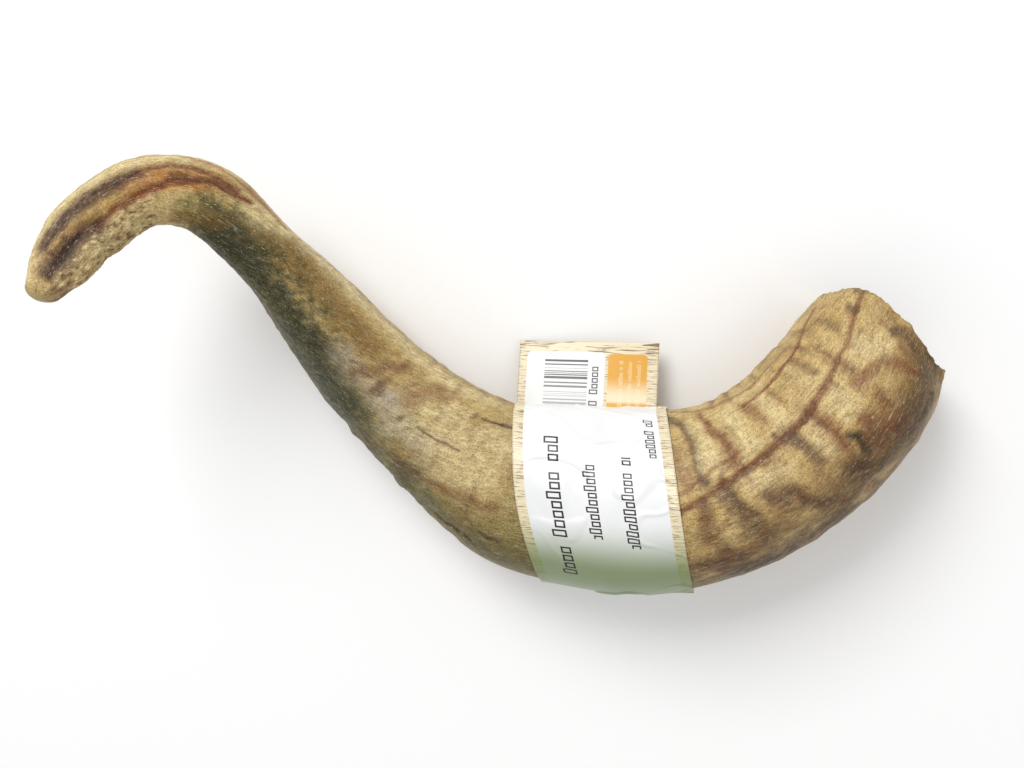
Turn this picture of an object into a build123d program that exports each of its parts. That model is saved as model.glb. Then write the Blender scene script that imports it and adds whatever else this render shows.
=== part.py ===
"""A ram's horn, hollow at the cut base and solid towards the rounded tip, with a paper label
wrapped once round its thick middle and its two ends stuck face to face as a small flag.

Millimetres, +Z up. The horn lies at rest on Z = 0 on its outer curve and on the back of its cut
base. +X runs from the tip towards the base, +Y towards the hollow side of the curve.
"""

import os
from math import cos, pi, radians, sin

from build123d import *

# ---------------------------------------------------------------- driving dimensions
# The axis of the horn from the tip to the cut base, and the section square to it. "inward" is
# half the width from the inner to the outer side of the curve, "across" half the width the other
# way, "turn" the direction of the inner side: 0 is level towards +Y, 90 is straight up.
#     x      y     z     inward across turn
STATIONS = [
    (-97.5, 22.5, 66.0, 3.5, 2.5, 185),
    (-96.5, 27.0, 61.5, 6.5, 4.5, 183),
    (-93.0, 36.0, 54.0, 8.5, 5.5, 178),
    (-83.5, 44.5, 43.0, 8.5, 6.0, 164),
    (-72.5, 42.5, 35.0, 9.0, 7.0, 142),
    (-61.5, 29.0, 26.0, 10.0, 8.0, 104),
    (-48.5, 12.0, 19.5, 14.5, 11.5, 77),
    (-34.0, -4.5, 16.5, 16.5, 13.5, 56),
    (-18.0, -18.0, 16.5, 18.0, 14.5, 34),
    (-0.5, -28.0, 18.5, 21.5, 17.0, 14),
    (18.5, -30.5, 20.5, 22.5, 18.0, 0),
    (35.5, -30.5, 22.0, 22.5, 18.5, -10),
    (52.5, -26.0, 22.5, 21.0, 18.0, -16),
    (67.0, -17.0, 21.5, 20.5, 17.5, -21),
    (78.5, -4.5, 19.5, 20.0, 17.5, -24),
    (85.0, 6.0, 17.0, 19.0, 17.0, -27),
    (88.5, 12.0, 15.5, 17.0, 16.5, -28),
]
TIP = (-98.0, 21.0, 67.5)
TIP_ZONE = 18.0  # from here to the base the sections are evenly spaced, in the tip they are closer
TIP_PLACES = [0.0, 1.5, 3.5, 6.0, 9.0, 13.0]
SECTION_SPACING = 7.0
EGG = 0.12  # how much narrower the inner side of a section is than the outer side

# The hollow left by the bony core: the station it starts at, and the wall left at each station
# from there to the cut base.
CAVITY_START = 7
WALLS = [11.5, 9.0, 7.5, 6.5, 5.8, 5.2, 4.7, 4.3, 3.9, 3.5]
SAW_ALLOWANCE = 3.0  # how far horn and hollow run past the base before it is sawn off

# Brings the middle of the footprint of the whole to X = Y = 0 and its underside to Z = 0.
TO_ORIGIN = (-0.33, 0.64, 0.70)

# The paper label: one strip, 37 mm wide, as a sleeve round the horn.
PAPER = 0.2
SLEEVE_CENTRE = (22.3, -30.0, 20.9)
SLEEVE_CLIMB = 5.6  # slope of the sleeve's rulings, degrees
SLEEVE_INWARD = 24.5
SLEEVE_ACROSS = 19.3
EDGE_SKEW = 8.7  # turn of the strip's two cut edges about the vertical, degrees
STRIP_WIDTH = 36.8
SLIT = 0.8  # gap in the sleeve where the two ends of the strip leave it

# The flag: the two ends of the strip, stuck together, folded off the sleeve along a crease.
CREASE_CENTRE = (16.4, -11.5, 8.4)
FLAG_DIP = 15.5  # the flag points this far below level, degrees
FLAG_HEIGHT = 18.6
ADHESIVE = 0.1
CREASE_GAP = 0.3  # the stuck part starts this far out from the crease


def smooth_row(knots, rows, at):
    """The row of values at one distance along the axis, on a smooth curve through the rows."""
    k = max(i for i in range(len(knots) - 1) if knots[i] <= at + 1e-9)

    def slope(i, column):
        low, high = max(i - 1, 0), min(i + 1, len(knots) - 1)
        return (rows[high][column] - rows[low][column]) / (knots[high] - knots[low])

    step = knots[k + 1] - knots[k]
    t = (at - knots[k]) / step
    start, end = 2 * t**3 - 3 * t**2 + 1, 3 * t**2 - 2 * t**3
    leave, arrive = t**3 - 2 * t**2 + t, t**3 - t**2
    return [
        start * rows[k][c]
        + end * rows[k + 1][c]
        + step * (leave * slope(k, c) + arrive * slope(k + 1, c))
        for c in range(len(rows[k]))
    ]


def egg_outline(inward, across):
    """The closed outline of a section, wider on its outer side, as four smoothly joined arcs."""

    def at(angle):
        return (inward * cos(angle), across * sin(angle) * (1 - EGG * cos(angle)))

    def along(angle):
        return (-inward * sin(angle), across * (cos(angle) - EGG * cos(2 * angle)))

    for quarter in range(4):
        angles = [pi / 2 * (quarter + i / 3) for i in range(4)]
        Spline(*[at(a) for a in angles], tangents=(along(angles[0]), along(angles[-1])))


def section_plane(point, heading, turn):
    """The plane square to the axis, its x towards the inner side of the curve."""
    ahead = heading.normalized()
    level = Vector(0, 0, 1).cross(ahead).normalized()
    lift = ahead.cross(level)
    inner = level * cos(radians(turn)) + lift * sin(radians(turn))
    return Plane(origin=point, x_dir=inner, z_dir=ahead)


# ---------------------------------------------------------------- horn
rows = [(*row, 0.0 if i < CAVITY_START else WALLS[i - CAVITY_START]) for i, row in enumerate(STATIONS)]
gaps = [Vector(*a[:3]) - Vector(*b[:3]) for a, b in zip(rows, rows[1:])]
knots = [0.0]
for gap in gaps:
    knots.append(knots[-1] + gap.length)
reach = knots[-1]
count = round((reach - TIP_ZONE) / SECTION_SPACING)
places = TIP_PLACES + [TIP_ZONE + (reach - TIP_ZONE) * i / count for i in range(count + 1)]

outer_sections = [Vertex(*TIP)]
cavity_sections = []
for place in places:
    x, y, z, inward, across, turn, wall = smooth_row(knots, rows, place)
    before = Vector(*smooth_row(knots, rows, max(place - 0.5, 0.0))[:3])
    after = Vector(*smooth_row(knots, rows, min(place + 0.5, reach))[:3])
    plane = section_plane((x, y, z), after - before, turn)
    with BuildSketch(plane) as outer:
        with BuildLine():
            egg_outline(inward, across)
        make_face()
    outer_sections.append(outer.sketch.face())
    if place < knots[CAVITY_START]:
        continue
    with BuildSketch(plane) as inner:
        with BuildLine():
            egg_outline(inward - wall, across - wall)
        make_face()
    cavity_sections.append(inner.sketch.face())
with BuildSketch(plane.offset(SAW_ALLOWANCE)) as outer_past_base:
    with BuildLine():
        egg_outline(inward, across)
    make_face()
with BuildSketch(plane.offset(SAW_ALLOWANCE)) as inner_past_base:
    with BuildLine():
        egg_outline(inward - wall, across - wall)
    make_face()
outer_sections.append(outer_past_base.sketch.face())
cavity_sections.append(inner_past_base.sketch.face())

with BuildPart() as horn_sheath:
    loft(sections=outer_sections)
    loft(sections=cavity_sections, mode=Mode.SUBTRACT)
    split(bisect_by=plane, keep=Keep.BOTTOM)

# ---------------------------------------------------------------- label sleeve
climb = radians(SLEEVE_CLIMB)
ruling = Vector(cos(climb), 0, sin(climb))
level_in = Vector(0, 1, 0)
sleeve_plane = Plane(origin=SLEEVE_CENTRE, x_dir=level_in, z_dir=ruling)
edge_plane = Plane(
    origin=SLEEVE_CENTRE,
    x_dir=(0, 0, 1),
    z_dir=(cos(radians(EDGE_SKEW)), sin(radians(EDGE_SKEW)), 0),
)
dip = radians(FLAG_DIP)
flag_out = level_in * cos(dip) - ruling.cross(level_in) * sin(dip)
flag_plane = Plane(origin=CREASE_CENTRE, x_dir=ruling, z_dir=ruling.cross(flag_out))

with BuildPart() as label_band:
    with BuildSketch(sleeve_plane):
        with BuildLine():
            egg_outline(SLEEVE_INWARD + PAPER, SLEEVE_ACROSS + PAPER)
        make_face()
        with BuildLine():
            egg_outline(SLEEVE_INWARD, SLEEVE_ACROSS)
        make_face(mode=Mode.SUBTRACT)
    extrude(amount=STRIP_WIDTH, both=True)
    split(bisect_by=edge_plane.offset(STRIP_WIDTH / 2), keep=Keep.BOTTOM)
    split(bisect_by=edge_plane.offset(-STRIP_WIDTH / 2), keep=Keep.TOP)
    with BuildSketch(flag_plane):
        with Locations((0, -2.0)):
            Rectangle(3 * STRIP_WIDTH, 8.0)
    extrude(amount=SLIT / 2, both=True, mode=Mode.SUBTRACT)

# ---------------------------------------------------------------- flag
ply_centre = (0, CREASE_GAP + FLAG_HEIGHT / 2)
with BuildPart() as label_flag_front:
    with BuildSketch(flag_plane.offset(ADHESIVE / 2)):
        with Locations(ply_centre):
            Rectangle(STRIP_WIDTH, FLAG_HEIGHT)
    extrude(amount=PAPER)

with BuildPart() as label_flag_back:
    with BuildSketch(flag_plane.offset(-ADHESIVE / 2)):
        with Locations(ply_centre):
            Rectangle(STRIP_WIDTH, FLAG_HEIGHT)
    extrude(amount=-PAPER)

with BuildPart() as flag_glue:
    with BuildSketch(flag_plane):
        with Locations(ply_centre):
            Rectangle(STRIP_WIDTH, FLAG_HEIGHT)
    extrude(amount=ADHESIVE / 2, both=True)

# ---------------------------------------------------------------- export
os.makedirs("parts", exist_ok=True)
nodes = {
    "horn_sheath": horn_sheath,
    "label_band": label_band,
    "label_flag_front": label_flag_front,
    "label_flag_back": label_flag_back,
    "flag_glue": flag_glue,
}
for name, node in nodes.items():
    placed = node.part.moved(Location(TO_ORIGIN))
    placed.label = name
    export_step(placed, f"parts/{name}.step")
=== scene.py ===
"""The looks of a raw ram's horn with a paper label round its middle.

Lengths are worked out in millimetres and written to the meshes in metres. A place on the horn is
given as (along, round): the distance from the tip along the axis in millimetres, and the angle
round the section in degrees, 0 on the inner side of the curve and 90 on the side that faces up.
A place on the label is given as (w, v): w across the strip from its middle, v along the strip from
the crease at its printed front, both in millimetres, with v below 0 on the flag.
"""

from math import cos, pi, radians, sin

import bpy
import numpy as np
from mathutils import Matrix, Vector
from mathutils.bvhtree import BVHTree


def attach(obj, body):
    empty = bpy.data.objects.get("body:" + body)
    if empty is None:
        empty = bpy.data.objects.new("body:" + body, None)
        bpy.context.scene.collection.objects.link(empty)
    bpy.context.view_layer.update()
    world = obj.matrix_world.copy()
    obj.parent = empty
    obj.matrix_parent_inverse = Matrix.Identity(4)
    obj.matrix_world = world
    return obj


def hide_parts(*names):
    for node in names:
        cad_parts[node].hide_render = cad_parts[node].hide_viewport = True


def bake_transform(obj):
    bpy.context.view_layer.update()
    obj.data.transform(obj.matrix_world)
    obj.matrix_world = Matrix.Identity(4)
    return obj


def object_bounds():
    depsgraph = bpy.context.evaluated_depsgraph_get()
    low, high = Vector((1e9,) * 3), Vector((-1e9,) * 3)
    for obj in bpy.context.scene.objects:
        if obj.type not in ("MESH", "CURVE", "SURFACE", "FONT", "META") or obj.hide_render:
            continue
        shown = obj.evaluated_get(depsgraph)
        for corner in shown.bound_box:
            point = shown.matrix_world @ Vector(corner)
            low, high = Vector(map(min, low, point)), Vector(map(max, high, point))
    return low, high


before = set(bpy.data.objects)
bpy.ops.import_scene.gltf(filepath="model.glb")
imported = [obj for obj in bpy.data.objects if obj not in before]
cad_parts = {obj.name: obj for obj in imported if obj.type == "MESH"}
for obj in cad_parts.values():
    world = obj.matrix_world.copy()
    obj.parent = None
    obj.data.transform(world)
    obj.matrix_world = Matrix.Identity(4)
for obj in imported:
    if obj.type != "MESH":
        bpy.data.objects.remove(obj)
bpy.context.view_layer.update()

MM = 0.001

# ---------------------------------------------------------------- shape of the horn, as in the CAD
# The axis from the tip to the cut base, and the section square to it. "inward" is half the width
# from the inner to the outer side of the curve, "across" half the width the other way, "turn" the
# direction of the inner side: 0 is level towards +Y, 90 is straight up.
#     x      y     z     inward across turn
STATIONS = [
    (-97.5, 22.5, 66.0, 3.5, 2.5, 185),
    (-96.5, 27.0, 61.5, 6.5, 4.5, 183),
    (-93.0, 36.0, 54.0, 8.5, 5.5, 178),
    (-83.5, 44.5, 43.0, 8.5, 6.0, 164),
    (-72.5, 42.5, 35.0, 9.0, 7.0, 142),
    (-61.5, 29.0, 26.0, 10.0, 8.0, 104),
    (-48.5, 12.0, 19.5, 14.5, 11.5, 77),
    (-34.0, -4.5, 16.5, 16.5, 13.5, 56),
    (-18.0, -18.0, 16.5, 18.0, 14.5, 34),
    (-0.5, -28.0, 18.5, 21.5, 17.0, 14),
    (18.5, -30.5, 20.5, 22.5, 18.0, 0),
    (35.5, -30.5, 22.0, 22.5, 18.5, -10),
    (52.5, -26.0, 22.5, 21.0, 18.0, -16),
    (67.0, -17.0, 21.5, 20.5, 17.5, -21),
    (78.5, -4.5, 19.5, 20.0, 17.5, -24),
    (85.0, 6.0, 17.0, 19.0, 17.0, -27),
    (88.5, 12.0, 15.5, 17.0, 16.5, -28),
]
INWARD, ACROSS, TURN, WALL = 3, 4, 5, 6  # columns of a station after x, y and z
TIP = np.array((-98.0, 21.0, 67.5))
EGG = 0.12  # how much narrower the inner side of a section is than the outer side
TO_ORIGIN = np.array((-0.33, 0.64, 0.70))
CAVITY_START = 7  # the station at which the hollow starts
WALLS = [11.5, 9.0, 7.5, 6.5, 5.8, 5.2, 4.7, 4.3, 3.9, 3.5]  # from that station to the cut base

# ---------------------------------------------------------------- wear that the CAD leaves out
TIP_BLUNTING = 0.16  # how much wider the worn tip is at its end
TIP_WORN = 2.5  # and over about how far
RIM_TOP = 3.0  # how far the worn rim runs out past a square cut on the side that faces up
RIM_LOW = 3.4  # and how far it is worn back on its outer side
RIM_ZONE = 12.0  # how far from the base the skin and the hollow follow the worn rim
WALL_SHARES = (0.06, 0.2, 0.4, 0.6, 0.8, 0.94)  # rows of points across the sawn wall
HOLLOW_RADIUS = 15.0

ROWS_ALONG = 640
ROWS_ROUND = 320
CAP_ROWS = 8
CAVITY_ROWS = 90

# ---------------------------------------------------------------- shape of the label
# A strip of paper round the horn on an egg-shaped sleeve, its ends stuck together as a flag.
SLEEVE_CENTRE = np.array((22.3, -30.0, 20.9)) + TO_ORIGIN
SLEEVE_CLIMB = radians(5.6)
SLEEVE_INWARD = 24.6  # the paper's back, 0.1 mm outside the CAD's
SLEEVE_ACROSS = 19.4
EDGE_SKEW = radians(8.7)
STRIP_WIDTH = 36.8
CREASE_CENTRE = np.array((16.4, -11.5, 8.4)) + TO_ORIGIN
CREASE_ANGLE = radians(-40.5)  # where the crease lies on the sleeve's section
CREASE_HALF_GAP = 0.02  # from the crease to the sleeve's first row, radians
FLAG_DIP = radians(15.5)
FLAG_HEIGHT = 18.9  # from the crease to the end of the flag
STUCK_FROM = 0.3  # how far out from the crease the two ends are stuck together
LIP = 0.15  # how far out the sleeve's ends follow the flag
PAPER = 0.2
HALF_FILM = 0.05  # half the thickness of the adhesive

BAND_ROWS = 420
BAND_COLUMNS = 90
FLAG_ROWS = 60

# ---------------------------------------------------------------- helpers
NOISE_TABLE = 4096
HASH_PRIMES = np.array((73856093, 19349663, 83492791))


def linear(red, green, blue):
    """A colour as seen, 0 to 255, as the linear values that shaders take."""
    seen = np.array((red, green, blue)) / 255
    return np.where(seen <= 0.04045, seen / 12.92, ((seen + 0.055) / 1.055) ** 2.4)


def rgba(colour):
    """A linear colour as an opaque value for a colour socket."""
    return (*[float(c) for c in colour], 1.0)


def smoothstep(low, high, value):
    """0 at low and 1 at high, with a smooth rise between them."""
    t = np.clip((value - low) / (high - low), 0, 1)
    return t * t * (3 - 2 * t)


def bell(offset, width):
    """1 where the offset is 0, falling smoothly to a third one width away."""
    return np.exp(-((offset / width) ** 2))


def wrapped(angle, full=2 * pi):
    """The same angle within half a turn of 0."""
    return (angle + full / 2) % full - full / 2


def lattice_noise(points, seed):
    """Smooth noise from -1 to 1 at the points, on a lattice with cells of side 1."""
    table = np.random.RandomState(seed).uniform(-1, 1, NOISE_TABLE)
    cell = np.floor(points).astype(np.int64)
    t = smoothstep(0, 1, points - cell)
    total = 0
    for corner in np.ndindex(2, 2, 2):
        at = (cell + corner) * HASH_PRIMES
        mixed = at[..., 0] ^ at[..., 1] ^ at[..., 2]
        weight = np.prod(np.where(corner, t, 1 - t), axis=-1)
        total = total + weight * table[mixed & (NOISE_TABLE - 1)]
    return total


def layered_noise(points, seed, layers=3):
    """Smooth noise with finer and weaker layers on top."""
    total = 0
    for layer in range(layers):
        total = total + lattice_noise(points * 2**layer, seed + layer) / 2**layer
    return total


def blurred(field, rows, columns):
    """The field averaged over a box that reaches this many rows and columns each way."""
    for axis, size in ((0, rows), (1, columns)):
        pad = [(0, 0), (0, 0)]
        pad[axis] = (size, size)
        total = np.cumsum(np.pad(field, pad, mode="edge"), axis=axis)
        low = np.take(total, range(0, field.shape[axis]), axis=axis)
        high = np.take(total, range(2 * size, 2 * size + field.shape[axis]), axis=axis)
        field = (high - low) / (2 * size)
    return field


def running_length(points):
    """The distance along a line of points from its first point to each of them."""
    return np.concatenate([[0], np.cumsum(np.linalg.norm(np.diff(points, axis=0), axis=1))])


def new_mesh(name, points, faces):
    """A smooth-shaded mesh object from points in millimetres."""
    mesh = bpy.data.meshes.new(name)
    mesh.from_pydata((points * MM).tolist(), [], faces)
    mesh.polygons.foreach_set("use_smooth", [True] * len(mesh.polygons))
    mesh.update()
    piece = bpy.data.objects.new(name, mesh)
    bpy.context.scene.collection.objects.link(piece)
    return piece


def store(piece, name, values):
    """Keeps a number or a vector for each point of a piece, for its material to read."""
    kind, key = ("FLOAT_VECTOR", "vector") if values.ndim == 2 else ("FLOAT", "value")
    layer = piece.data.attributes.new(name, kind, "POINT")
    layer.data.foreach_set(key, values.astype(np.float32).ravel())


def ring_faces(rows, columns):
    """Quads between rows of points that each close on themselves."""
    faces = []
    for i in range(rows - 1):
        low = i * columns
        for j in range(columns):
            k = (j + 1) % columns
            faces.append((low + j, low + k, low + columns + k, low + columns + j))
    return faces


def surface_normals(points):
    """Outward normals of a grid of rows that close on themselves."""
    down = np.gradient(points, axis=0)
    sideways = (np.roll(points, -1, axis=1) - np.roll(points, 1, axis=1)) / 2
    normals = np.cross(down, sideways)
    normals /= np.linalg.norm(normals, axis=2, keepdims=True) + 1e-9
    away = points - points.mean(axis=1, keepdims=True)
    return normals * np.sign((normals * away).sum())


# ---------------------------------------------------------------- horn: axis and sections
stations = np.array([(*row, 0.0) for row in STATIONS])
stations[CAVITY_START:, WALL] = WALLS
knots = running_length(stations[:, :3])
reach = knots[-1]
last = len(knots) - 1
following = np.minimum(np.arange(last + 1) + 1, last)
previous = np.maximum(np.arange(last + 1) - 1, 0)
slopes = (stations[following] - stations[previous]) / (knots[following] - knots[previous])[:, None]
angles = np.linspace(-pi, pi, ROWS_ROUND, endpoint=False)


def smooth_rows(at):
    """The horn's values at distances along the axis, on a smooth curve through the stations."""
    k = np.clip(np.searchsorted(knots, at, side="right") - 1, 0, last - 1)
    step = (knots[k + 1] - knots[k])[:, None]
    t = (at - knots[k])[:, None] / step
    start = 2 * t**3 - 3 * t**2 + 1
    end = 3 * t**2 - 2 * t**3
    leave = t**3 - 2 * t**2 + t
    arrive = t**3 - t**2
    curve = leave * slopes[k] + arrive * slopes[k + 1]
    return start * stations[k] + end * stations[k + 1] + step * curve


def section_frames(at):
    """Values, heading, inward and across directions at distances along the axis."""
    values = smooth_rows(at)
    ahead = smooth_rows(np.clip(at + 0.5, 0, reach)) - smooth_rows(np.clip(at - 0.5, 0, reach))
    ahead = ahead[:, :3] / np.linalg.norm(ahead[:, :3], axis=1, keepdims=True)
    level = np.cross((0, 0, 1), ahead)
    level /= np.linalg.norm(level, axis=1, keepdims=True)
    lift = np.cross(ahead, level)
    turn = np.radians(values[:, TURN : TURN + 1])
    inner = level * np.cos(turn) + lift * np.sin(turn)
    return values, ahead, inner, np.cross(ahead, inner)


def egg_points(values, inner, across, wall=0.0):
    """Points round egg-shaped sections, one row for each section, a wall's thickness inside them."""
    c = np.cos(angles)[None, :, None]
    s = np.sin(angles)[None, :, None]
    inward = (values[:, INWARD] - wall)[:, None, None]
    wide = (values[:, ACROSS] - wall)[:, None, None]
    centre = values[:, None, :3]
    return centre + inner[:, None] * inward * c + across[:, None] * wide * s * (1 - EGG * c)


along = np.linspace(0, reach, ROWS_ALONG)
values, ahead, inner, across = section_frames(along)
values[:, INWARD : ACROSS + 1] *= 1 + TIP_BLUNTING * bell(along[:, None], TIP_WORN)
outer = egg_points(values, inner, across) + TO_ORIGIN
outer_normals = surface_normals(outer)
radius = ((values[:, INWARD] + values[:, ACROSS]) / 2)[:, None]
at_along = np.repeat(along[:, None], ROWS_ROUND, axis=1)
at_round = np.repeat(angles[None], ROWS_ALONG, axis=0)
grain = np.stack([radius * np.cos(at_round), radius * np.sin(at_round), at_along], axis=-1)
degrees_round = np.degrees(at_round)


# ---------------------------------------------------------------- horn: ways to find a place on it
def fibres(across_scale, along_scale, seed, layers=3):
    """Noise drawn out along the horn."""
    return layered_noise(grain * (1 / across_scale, 1 / across_scale, 1 / along_scale), seed, layers)


def over_turns(low, high, soft=15):
    """1 for the part of the section between two angles, 0 outside it."""
    half = (high - low) / 2
    from_middle = np.abs(wrapped(degrees_round - (low + high) / 2, 360))
    return smoothstep(half + soft, half - soft, from_middle)


def over_stretch(start, full_from, full_to, end):
    """1 for a stretch of the horn, fading to 0 at each end."""
    return smoothstep(start, full_from, at_along) * (1 - smoothstep(full_to, end, at_along))


wander_along = layered_noise(grain / 4, 71, 2)
wander_round = layered_noise(grain / 4, 83, 2)


def line_distance(line, wander):
    """How far each point of the skin is from a line of (along, round) places, in millimetres."""
    wandering_along = at_along + wander * wander_along
    wandering_round = at_round + wander * wander_round / radius
    nearest = np.full(at_along.shape, 1e3)
    places = line if len(line) > 1 else [line[0], line[0]]
    for (along0, round0), (along1, round1) in zip(places, places[1:]):
        dx = wandering_along - along0
        dy = wrapped(wandering_round - radians(round0)) * radius
        ex = along1 - along0
        ey = wrapped(radians(round1 - round0)) * radius
        share = np.clip((dx * ex + dy * ey) / (ex * ex + ey * ey + 1e-6), 0, 1)
        nearest = np.minimum(nearest, np.hypot(dx - share * ex, dy - share * ey))
    return nearest


# ---------------------------------------------------------------- horn: colours and marks
STRAW = linear(226, 208, 158)
CREAM = linear(238, 226, 184)
GOLD = linear(196, 162, 100)
TAN = linear(186, 167, 118)
ORANGE = linear(196, 138, 76)
RUST = linear(140, 82, 50)
BROWN = linear(120, 78, 48)
PURPLE = linear(100, 68, 56)
BRONZE = linear(150, 124, 68)
OLIVE = linear(86, 88, 50)
MOSS = linear(112, 112, 62)
GREY = linear(176, 168, 146)
SILVER = linear(206, 200, 186)
CHARCOAL = linear(58, 62, 50)

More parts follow.
